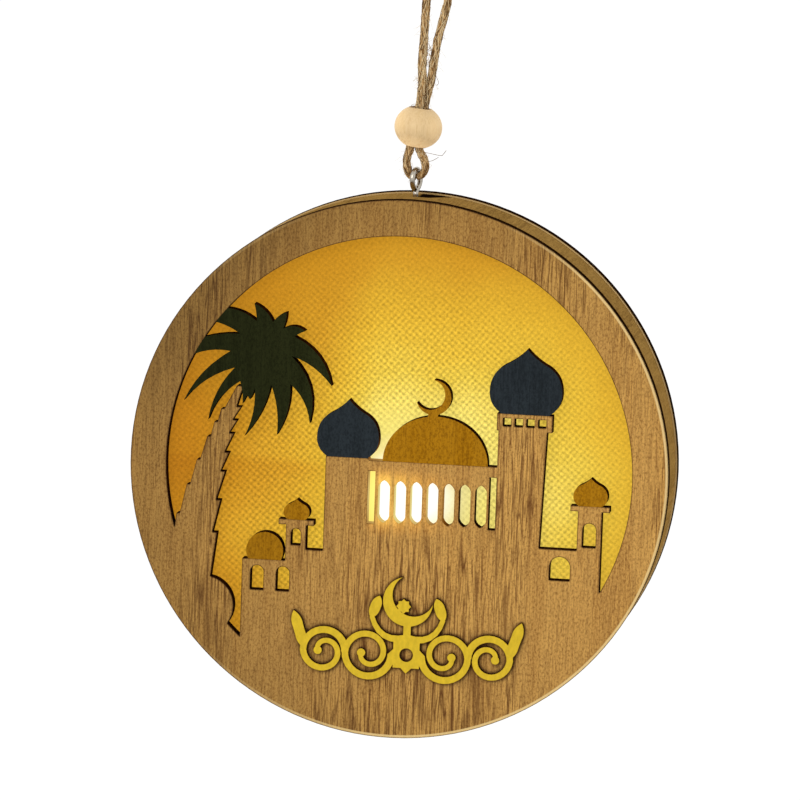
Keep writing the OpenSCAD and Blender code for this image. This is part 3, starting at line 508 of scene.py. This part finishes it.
def hoop_look():
    """Bent veneer, its grain running from front to back, with painted light that brightens it to
    the right and a dark wedge on top.
    """
    look = Look("hoop_veneer", rough=0.8, specular=0.0)
    base, height = grained(look, rgb(176, 138, 74), rgb(160, 124, 64), rgb(104, 74, 34),
                           along="y", lines=0.5, rough=0.9, seed=40)
    x, y, z = look.axes(centre=LAMP_MM)
    # Painted light, brighter towards the right
    base = look.times(base, look.span(x, 15, 58, 1.0, 1.15))

    # A dark wedge on top that narrows to the right while its middle moves towards the back board
    from_dark_wedge = look.total(look.off(y, look.span(x, 3, 7.5, 15.2, 18.6)),
                           look.span(x, 3, 7.5, 0.0, 3.4))
    dark_wedge = look.product(look.span(from_dark_wedge, 3.2, 3.7, 1.0, 0.0), look.span(z, 0, 1),
                        look.span(x, 0.2, 1.0))
    look.set("Base Color", look.mix(dark_wedge, base, rgb(22, 10, 4)))
    look.bump(height, 0.05, 0.5)
    return look.mat


LOOKS = {
    "board": board("printed_board"),
    "back": board("back_board", painted_lamplight=False),
    "rim": burnt("burnt_rim", 0.9),
    "cut": burnt("burnt_cut", 1.1, painted_lamplight=True),
    "crown": ink("ink_green", rgb(30, 33, 11), rgb(50, 54, 26), rgb(12, 14, 4), 0.55),
    "navy": ink("ink_navy", rgb(32, 38, 42), rgb(54, 62, 68), rgb(14, 18, 22), 0.5),
    "ochre": ink("ink_ochre", rgb(166, 112, 8), rgb(182, 128, 22), rgb(96, 56, 4), 0.8),
    "ornament": edged("ornament_paint", rgb(232, 196, 44), rgb(150, 104, 24), 0.2),
    "diffuser": diffuser_look(),
    "bead": bead_look(),
    "jute": jute_look("jute"),
    # Pale fibres, which also stand in for painted highlights on the cord
    "fibre": jute_look("jute_fibre", 0.7, (246, 222, 176)),
    "dark_fibre": jute_look("jute_dark_fibre", 0.75, (92, 60, 32)),
    "nickel": metal("nickel", rgb(192, 184, 170), 0.22),
    "steel": metal("screw_steel", rgb(190, 190, 188), 0.3),
    "can": metal("cell_can", rgb(205, 205, 205), 0.28, 0.4, (0.4, 3, 3)),
    "strip": metal("contact_strip", rgb(210, 208, 200), 0.25, 0.3, (3, 0.4, 3)),
    "housing": plastic("housing_plastic", rgb(236, 232, 222)),
    "dark": plastic("switch_plastic", rgb(44, 44, 46), 0.5),
    "slider": plastic("slider_plastic", rgb(26, 26, 28), 0.4),
    "pcb": plastic("board_green", rgb(24, 96, 52), 0.35, 0.02, coat=0.4),
    "epoxy": plastic("led_epoxy", rgb(248, 240, 214), 0.12, 0.0, coat=0.5, seen_through=0.6),
    "chip": plastic("chip_black", rgb(30, 30, 32), 0.4),
    "red": plastic("wire_red_skin", rgb(176, 30, 24), 0.35),
    "black": plastic("wire_black_skin", rgb(24, 24, 26), 0.35),
    "hoop": hoop_look(),
}


def dress(node, *names):
    """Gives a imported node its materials, with the first one on all its faces."""
    obj = NODES[node]
    obj.data.materials.clear()
    for name in names:
        obj.data.materials.append(LOOKS[name])
    for face in obj.data.polygons:
        face.material_index = 0
    return obj


def dress_walls(obj, rim_radius=math.inf):
    """Gives walls square to the face the second material, and those past a radius the third."""
    for face in obj.data.polygons:
        if abs(face.normal.y) < 0.7:
            radius = math.hypot(face.center.x - LAMP.x, face.center.z - LAMP.z) / MM
            face.material_index = 2 if radius > rim_radius else 1


RIM_RADIUS = 59.0
dress_walls(dress("front_panel", "board", "cut", "rim"), RIM_RADIUS)
dress_walls(dress("back_panel", "back", "cut", "rim"), RIM_RADIUS)
dress_walls(dress("scroll_ornament", "ornament", "rim"))
for node_name, look_name in {
        "palm_crown": "crown", "navy_domes": "navy", "ochre_domes": "ochre",
        "diffuser": "diffuser", "side_hoop": "hoop", "hanger_block": "hoop",
        "battery_housing": "housing", "battery_cover": "housing", "cover_screw": "steel",
        "housing_screws": "steel", "coin_cells": "can", "negative_contact": "strip",
        "positive_contact": "strip", "switch_body": "dark", "switch_slider": "slider",
        "switch_screws": "steel", "led_board": "pcb", "led": "epoxy", "resistor": "chip",
        "wire_red": "red", "wire_black": "black"}.items():
    dress(node_name, look_name)


def add_mesh(name, points, faces, material, smooth=True):
    mesh = bpy.data.meshes.new(name)
    mesh.from_pydata([tuple(p) for p in points], [], faces)
    mesh.validate()
    mesh.update()
    for face in mesh.polygons:
        face.use_smooth = smooth
    mesh.materials.append(material)
    obj = bpy.data.objects.new(name, mesh)
    bpy.context.scene.collection.objects.link(obj)
    return obj


def smooth_way(points, steps):
    """The same rounded way through points as the solids' cord takes."""
    out = []
    n = len(points) - 1
    for i in range(n):
        a, b = points[max(i - 1, 0)], points[i]
        c, d = points[min(i + 1, n)], points[min(i + 2, n)]
        for k in range(steps):
            t = k / steps
            out.append(0.5 * (2 * b + (c - a) * t + (2 * a - 5 * b + 4 * c - d) * t * t
                              + (3 * b - a - 3 * c + d) * t * t * t))
    out.append(points[-1])
    return out


def even_way(points, step):
    """Points at one spacing along a way."""
    out = [points[0]]
    left = step
    for a, b in zip(points, points[1:]):
        gap = (b - a).length
        at = 0.0
        while gap - at >= left:
            at += left
            out.append(a + (b - a) * (at / gap))
            left = step
        left -= gap - at
    if (out[-1] - points[-1]).length > step * 0.3:
        out.append(points[-1])
    return out


def square_pairs(points, side):
    """Two directions square to the way at each point, which turn as little as they can."""
    out = []
    v = Vector(side)
    for i in range(len(points)):
        t = (points[min(i + 1, len(points) - 1)] - points[max(i - 1, 0)]).normalized()
        v = (v - t * v.dot(t)).normalized()
        out.append((t.cross(v), v.copy()))
    return out


def spoke(pair, angle):
    """Direction at an angle in the plane of two directions."""
    return pair[0] * math.cos(angle) + pair[1] * math.sin(angle)


ROPE_STRANDS = 11
ROPE_PITCH = 8.5 * MM
STRAND_SHARE = 0.37   # radius of a strand, as a share of the rope's
INNER_LAY = 0.42      # how far out an inner strand lies, as a share of an outer one
ROPE_SIDE = (0, 1, 0)
FIBRE_SIDE = (0.3, 1, 0.2)


class Bundle:
    """Collects closed tubes, such as strands and loose fibres, for one mesh. Lengths in metres."""

    def __init__(self, random_source=None):
        self.rng = random_source
        self.points = []
        self.faces = []

    def mesh(self, name, material):
        return add_mesh(name, self.points, self.faces, material)

    def tube(self, line, radius, sides, side=FIBRE_SIDE):
        """Adds a tube along a line. radius is a number or a function of the share of the way."""
        start, last = len(self.points), len(line) - 1
        for i, (p, pair) in enumerate(zip(line, square_pairs(line, side))):
            r = radius(i / last) if callable(radius) else radius
            for k in range(sides):
                self.points.append(p + spoke(pair, 2 * math.pi * k / sides) * r)
        for i in range(last):
            a, b = start + i * sides, start + (i + 1) * sides
            for k in range(sides):
                m = (k + 1) % sides
                self.faces.append((a + k, a + m, b + m, b + k))
        self.faces.append(tuple(start + k for k in reversed(range(sides))))
        self.faces.append(tuple(start + last * sides + k for k in range(sides)))

    def rope(self, way, radius):
        """Adds loosely twisted strands along an evenly spaced way, most of them in its outer ring.

        Each strand wanders a little round the rope and in and out of it, in waves of its own.
        """
        pairs = square_pairs(way, ROPE_SIDE)
        step = (way[1] - way[0]).length
        thin = radius * STRAND_SHARE
        for j in range(ROPE_STRANDS):
            lay = (radius - thin) * (INNER_LAY if j % 4 == 3 else 1.0)
            start = 2 * math.pi * j / ROPE_STRANDS
            wave, late = self.rng.uniform(9, 16) * MM, self.rng.uniform(0, 2 * math.pi)
            line = []
            for i, (p, pair) in enumerate(zip(way, pairs)):
                s = i * step
                angle = (start + 2 * math.pi * s / ROPE_PITCH
                         + 0.35 * math.sin(2 * math.pi * s / wave + late))
                r = lay * (1 + 0.12 * math.sin(2 * math.pi * s / wave * 1.7 + late))
                line.append(p + spoke(pair, angle) * r)
            self.tube(line, thin * self.rng.uniform(0.85, 1.1), 6, ROPE_SIDE)

    def any_direction(self):
        return Vector([self.rng.uniform(-1, 1) for _ in range(3)])

    def hairs(self, way, count, reach, thick, away=0.48 * MM, droop=0.25):
        """Adds loose fibres that start at a distance away from a way, spring out and droop."""
        for _ in range(count):
            i = self.rng.randrange(1, len(way) - 1)
            t = (way[i + 1] - way[i - 1]).normalized()
            out = self.any_direction()
            out = (out - t * out.dot(t)).normalized()
            along = t * self.rng.choice((-1, 1)) * self.rng.uniform(0.4, 1.4)
            length = reach * self.rng.uniform(0.35, 1.0)
            bend = self.any_direction() * 0.5 + Vector((0, 0, -droop))
            start = way[i] + out * away
            line = [start + ((out + along) * s + bend * s * s) * length
                    for s in (0.0, 0.3, 0.6, 1.0)]
            self.tube(line, lambda s: thick * (1 - 0.6 * s), 3)

    def lying(self, way, count, radius, thick):
        """Adds loose fibres that lie along a way on its surface."""
        pairs = square_pairs(way, ROPE_SIDE)
        step = (way[1] - way[0]).length
        for _ in range(count):
            size = self.rng.randrange(10, 30)
            first = self.rng.randrange(0, len(way) - size)
            start = self.rng.uniform(0, 2 * math.pi)
            lean = self.rng.uniform(-1.5, 1.5) / (3 * MM)
            line = []
            for k in range(0, size, 2):
                r = radius * (1 + 0.06 * math.sin(k * 0.9 + start))
                line.append(way[first + k] + spoke(pairs[first + k], start + lean * k * step) * r)
            self.tube(line, thick, 4)


# The 40 points of cord_route in part.scad
CORD_ROUTE = [Vector(p) * MM for p in (
    (-3.1, 0, -62.1), (-4.4, 0, -61.6), (-5.05, 0, -60.2), (-5.2, 0, -58.6), (-5, 0, -57.2),
    (-4.7, 0, -56.2), (-4.51, 0, -55.1), (-3.73, -0.62, -50.9), (-2.76, -0.86, -46.4),
    (-2.42, -0.74, -42.9), (-2.33, -0.36, -40.3), (-2.6, -0.1, -37.2), (-2.4, 0, -32.6),
    (-2.25, 0, -27.7), (-2.1, 0, -22.5), (-2.1, 0, -15), (-1.6, 0, -7), (-1, 0, -1.5),
    (-0.9, 0, 1.5), (0, 0, 3), (0.9, 0, 1.5), (1.1, 0, -2), (2, 0, -8), (2.9, 0, -15),
    (2.7, 0, -22), (1.6, 0, -27.6), (0.5, 0, -32.5), (0, 0.1, -36.4), (-0.55, 0.36, -40.5),
    (-1.19, 0.74, -43.1), (-1.86, 0.86, -46.6), (-2.17, 0.62, -51.1), (-2.6, 0.12, -54.7),
    (-2.56, 0, -55.9), (-2.1, 0, -57), (-1.45, 0, -58), (-1.1, 0, -59.2), (-1.12, 0, -60.4),
    (-1.7, 0, -61.6), (-2.9, 0, -62.1))]
CORD_D = 1.8 * MM
WAY_STEP = 0.3 * MM
way = even_way(smooth_way(CORD_ROUTE, 12), WAY_STEP)
rng = random.Random(7)

bundle = Bundle(rng)
bundle.rope(way, CORD_D * 0.48)
cord_obj = bundle.mesh("jute_cord", LOOKS["jute"])
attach(cord_obj, "hanger")
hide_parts("hanging_cord")

# Place over the bead where the two strands of the cord part, which loose fibres fill
gap = [Vector((-0.75 - 0.12 * k, -0.15, -32.6 - 0.5 * k)) * MM for k in range(22)]
bundle = Bundle(rng)
bundle.hairs(way, count=420, reach=1.9 * MM, thick=0.035 * MM)
bundle.hairs(way, count=500, reach=0.9 * MM, thick=0.03 * MM)
bundle.lying(way, count=250, radius=CORD_D * 0.49, thick=0.085 * MM)
bundle.hairs(gap, count=90, reach=1.5 * MM, thick=0.05 * MM, away=0.18 * MM, droop=0.1)
# The pale loose fibres also stand in for painted highlights on the cord
fibres = bundle.mesh("jute_fibres", LOOKS["fibre"])
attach(fibres, "hanger")

# The four long stray hairs of the photograph
STRAYS = (
    ((-1.6, -0.7, -56.4), (0.3, -0.9, -56.7), (2.5, -1, -57), (3, -1, -56.6), (3.6, -1.1, -55.8)),
    ((-2.7, -1.2, -46.2), (-3.4, -1.8, -45.8), (-4.2, -2, -45.9), (-4.5, -2, -46.4)),
    ((-0.6, -0.6, -37.5), (0.5, -0.9, -39.2), (1.3, -0.8, -40.8), (0.9, -0.7, -41.6)),
    ((-0.9, -0.6, -58.6), (0.6, -0.9, -58.2), (1.9, -1, -57.4)))
bundle = Bundle(rng)
bundle.lying(way, count=190, radius=CORD_D * 0.48, thick=0.09 * MM)
bundle.hairs(gap, count=30, reach=1.2 * MM, thick=0.05 * MM, away=0.12 * MM, droop=0.1)
for stray in STRAYS:
    bundle.tube(smooth_way([Vector(p) * MM for p in stray], 5), radius=0.055 * MM, sides=4)
dark_fibres = bundle.mesh("jute_dark_fibres", LOOKS["dark_fibre"])
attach(dark_fibres, "hanger")

# Knot: the cord wound three times round itself, and two frayed tails
KNOT_Z = 3.4
COIL_R, COIL_HALF_HEIGHT, COIL_WOBBLE, COIL_TURNS, COIL_POINTS = 1.95, 1.75, 0.25, 3.0, 160
TAIL_LEAN, TAIL_SWAY, TAIL_STEP, TAIL_POINTS = 24, 0.25, 0.35, 20
FRAYS, FRAY_REACH = 26, 0.75


def knot_coil():
    """Way of the wound cord, over an oval from near its foot to near its top."""
    out = []
    for i in range(COIL_POINTS + 1):
        t = i / COIL_POINTS
        turn = 2 * math.pi * COIL_TURNS * t
        rise = math.pi * (0.17 + 0.66 * t)
        r = COIL_R * math.sin(rise)
        z = KNOT_Z - COIL_HALF_HEIGHT * math.cos(rise) + COIL_WOBBLE * math.sin(turn)
        out.append(Vector((r * math.cos(turn), r * math.sin(turn), z)) * MM)
    return even_way(out, WAY_STEP)


def knot_tail(side):
    """Way of one tail, which leans to its own side."""
    lean = math.radians(TAIL_LEAN) * side
    return [Vector((math.sin(lean) * s, TAIL_SWAY * side * math.sin(s * 0.5),
                    math.cos(lean) * s + KNOT_Z)) * MM
            for s in [TAIL_STEP * k for k in range(TAIL_POINTS)]]


def fray(fibres, tail):
    """Adds the loose ends of one tail to a bundle."""
    draw = fibres.rng.uniform
    for _ in range(FRAYS):
        out = Vector((draw(-1, 1), draw(-1, 1), 0)) * FRAY_REACH * MM
        tip = tail[-1] + out
        end = tip + (out * 0.5 + Vector((0, 0, draw(0.2, 0.7))) * MM) * 0.8
        fibres.tube([tail[-3] + out * 0.5, tip, end], radius=0.06 * MM, sides=3)


bundle = Bundle(rng)
coil = knot_coil()
bundle.rope(coil, CORD_D / 2)
for side in (-1, 1):
    tail = knot_tail(side)
    bundle.rope(tail, CORD_D / 2)
    fray(bundle, tail)
bundle.hairs(coil, count=60, reach=1.3 * MM, thick=0.035 * MM)
knot = bundle.mesh("knot", LOOKS["jute"])
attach(knot, "hanger")
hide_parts("cord_knot")


def lathe(name, profile, centre, axis, segments, material):
    """Turns a closed profile of (radius, height) in millimetres round an axis."""
    turn = Vector((0, 0, 1)).rotation_difference(Vector(axis)).to_matrix()
    points, faces = [], []
    n = len(profile)
    for i in range(segments):
        a = 2 * math.pi * i / segments
        for r, h in profile:
            points.append((Vector(centre) + turn @ Vector((r * math.cos(a), r * math.sin(a), h)))
                          * MM)
        j = (i + 1) % segments
        for k in range(n):
            m = (k + 1) % n
            faces.append((i * n + k, j * n + k, j * n + m, i * n + m))
    return add_mesh(name, points, faces, material)


BEAD_R, BEAD_HALF, BORE_R, MOUTH_R = 5.3, 4.8, 2.0, 0.3
ARC_STEPS, BEAD_SEGMENTS = 40, 72


def bead_profile():
    """Half of the bead's section: an oval arc, and the bore with its rounded mouths."""
    first = math.asin((BORE_R + MOUTH_R) / BEAD_R)
    sweep = math.pi - 2 * first
    out = []
    for k in range(ARC_STEPS + 1):
        a = first + sweep * k / ARC_STEPS
        out.append((BEAD_R * math.sin(a), BEAD_HALF * math.cos(a)))
    top = BEAD_HALF * math.cos(first)
    mouth = [(BORE_R + MOUTH_R * 0.3, top + MOUTH_R * 0.02), (BORE_R, top - MOUTH_R * 0.5)]
    return out + [(r, -h) for r, h in mouth] + mouth[::-1]


bead = lathe("wooden_bead", bead_profile(), BEAD_MM, BEAD_AXIS, BEAD_SEGMENTS, LOOKS["bead"])
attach(bead, "cord_bead")
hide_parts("bead")

# Screw eye: wire bent into a ring over a threaded shank
EYE_TURN = math.radians(-15)
RING_R, RING_WIRE_R, RING_Z = 2.2, 0.6, 63.4
RING_START, RING_SWEEP, RING_POINTS = math.radians(-70), math.radians(322), 60
RING_STEP = 0.18 * MM
SHANK_Z = (51.2, 53, 56, 58, 59.6, 60.4)
THREAD_Z, THREAD_R, THREAD_PITCH, THREAD_TURNS, THREAD_SIDES = 51.0, 0.62, 0.75, 11, 16


def eye_place(s, z):
    """Place at z over the lamp's middle and at s from the eye's axis, in the plane of its ring."""
    return LAMP + Vector((-math.sin(EYE_TURN) * s, EYE_DEPTH + math.cos(EYE_TURN) * s, z)) * MM


def eye_way():
    """Way of the wire: up the shank and round the ring."""
    out = [eye_place(0, z) for z in SHANK_Z]
    for k in range(RING_POINTS + 1):
        a = RING_START + RING_SWEEP * k / RING_POINTS
        out.append(eye_place(RING_R * math.cos(a), RING_Z + RING_R * math.sin(a)))
    return even_way(smooth_way(out, 3), RING_STEP)


def thread_way():
    """Way of the ridge that winds round the shank."""
    out = []
    for k in range(THREAD_TURNS * THREAD_SIDES):
        a = 2 * math.pi * k / THREAD_SIDES
        middle = eye_place(0, THREAD_Z + THREAD_PITCH * k / THREAD_SIDES)
        out.append(middle + Vector((math.cos(a), math.sin(a), 0)) * THREAD_R * MM)
    return out


def thread_radius(share):
    """Radius of the ridge, which grows from a point at its lower end."""
    return 0.2 * MM * min(1, share * 12 + 0.1)


bundle = Bundle()
bundle.tube(eye_way(), RING_WIRE_R * MM, sides=16, side=(1, 0, 0))
bundle.tube(thread_way(), thread_radius, sides=6, side=(0, 0, 1))
eye = bundle.mesh("wire_eye", LOOKS["nickel"])
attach(eye, "lamp")
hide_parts("screw_eye")


WORLD_STRENGTH = 0.66
FLOOR_WHITE_SHARE, FLOOR_WHITE_STRENGTH = 0.72, 1.22


def white_world():
    """Plain warm light, seen as white by the camera and in glossy and clear surfaces."""
    world = bpy.data.worlds.new("world")
    world.use_nodes = True
    tree = world.node_tree
    tree.nodes.clear()
    rays = add_node(tree, "LightPath").outputs
    seen = rays["Is Camera Ray"]
    for kind in ("Is Glossy Ray", "Is Transmission Ray"):
        seen = add_node(tree, "Math", seen, rays[kind], operation="MAXIMUM").outputs[0]
    warm = add_node(tree, "Background", (1.0, 0.985, 0.96, 1), WORLD_STRENGTH)
    white = add_node(tree, "Background", (1, 1, 1, 1), 1.0)
    mixed = add_node(tree, "MixShader", seen, warm.outputs[0], white.outputs[0])
    add_node(tree, "OutputWorld", mixed.outputs[0])
    bpy.context.scene.world = world


def floor_look():
    """Pale matte floor that is mostly plain white light to the camera."""
    mat = bpy.data.materials.new("floor")
    mat.use_nodes = True
    tree = mat.node_tree
    tree.nodes.clear()
    camera_ray = add_node(tree, "LightPath").outputs["Is Camera Ray"]
    share = add_node(tree, "Math", camera_ray, FLOOR_WHITE_SHARE, operation="MULTIPLY")
    matte = add_node(tree, "BsdfDiffuse", (0.86, 0.86, 0.86, 1))
    white = add_node(tree, "Emission", (1, 1, 1, 1), FLOOR_WHITE_STRENGTH)
    mixed = add_node(tree, "MixShader", share.outputs[0], matte.outputs[0], white.outputs[0])
    add_node(tree, "OutputMaterial", mixed.outputs[0])
    return mat


def area_light(name, size, watts, offset, colour=(1, 1, 1)):
    """Round light, of a size and at an offset in metres, that faces the lamp."""
    light = bpy.data.lights.new(name, "AREA")
    light.shape = "DISK"
    light.size = size
    light.energy = watts
    light.color = colour
    obj = bpy.data.objects.new(name, light)
    obj.location = LAMP + Vector(offset)
    obj.rotation_euler = (LAMP - obj.location).to_track_quat("-Z", "Y").to_euler()
    bpy.context.scene.collection.objects.link(obj)


bpy.context.scene.view_settings.view_transform = "Standard"
white_world()
FLOOR_HALF, FLOOR_Z = 14.0, -0.36
corners = [(x * FLOOR_HALF, y * FLOOR_HALF, FLOOR_Z)
           for x, y in ((-1, -1), (1, -1), (1, 1), (-1, 1))]
floor = add_mesh("floor", corners, [(0, 1, 2, 3)], floor_look(), smooth=False)
area_light("key", size=0.9, watts=9, offset=(-0.55, -1.35, 0.85), colour=(1.0, 0.98, 0.95))
area_light("fill", size=1.4, watts=6, offset=(1.1, -1.15, -0.75))
